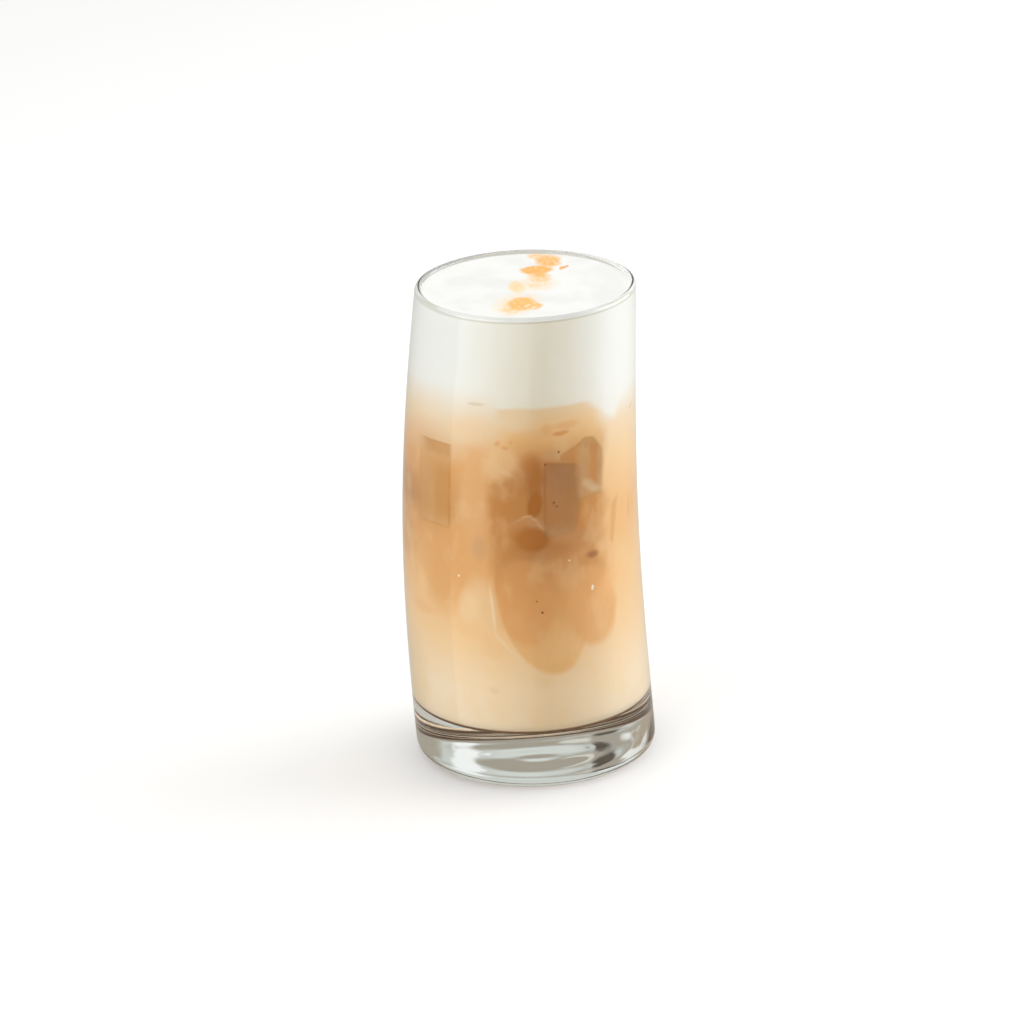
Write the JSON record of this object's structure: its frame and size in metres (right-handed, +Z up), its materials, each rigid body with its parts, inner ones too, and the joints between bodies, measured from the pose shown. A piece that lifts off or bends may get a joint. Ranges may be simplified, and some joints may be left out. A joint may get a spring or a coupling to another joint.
{
  "type": "iced latte in a glass",
  "caption": "Tall bowed tumbler with a thick clear base, filled with layered milk, coffee with ice, and thick milk foam.",
  "frame": {"origin": "middle of the flat underside of the glass's foot, on the surface it stands on", "axes": "+Z up the glass, -Y towards the front of the drink as shown, +X to the right of someone looking at that front; the glass bows towards -X at mid-height"},
  "size_m": [0.0732, 0.0714, 0.145],
  "materials": {
    "glass": "clear gloss",
    "milk": "milk, cloudy liquid behind glass",
    "coffee": "coffee swirled into milk, cloudy liquid behind glass",
    "foam": "fine wet milk foam"
  },
  "bodies": {
    "root": {"glass": "glass", "milk": "milk", "coffee": "coffee", "foam": "foam"}
  },
  "joints": []
}
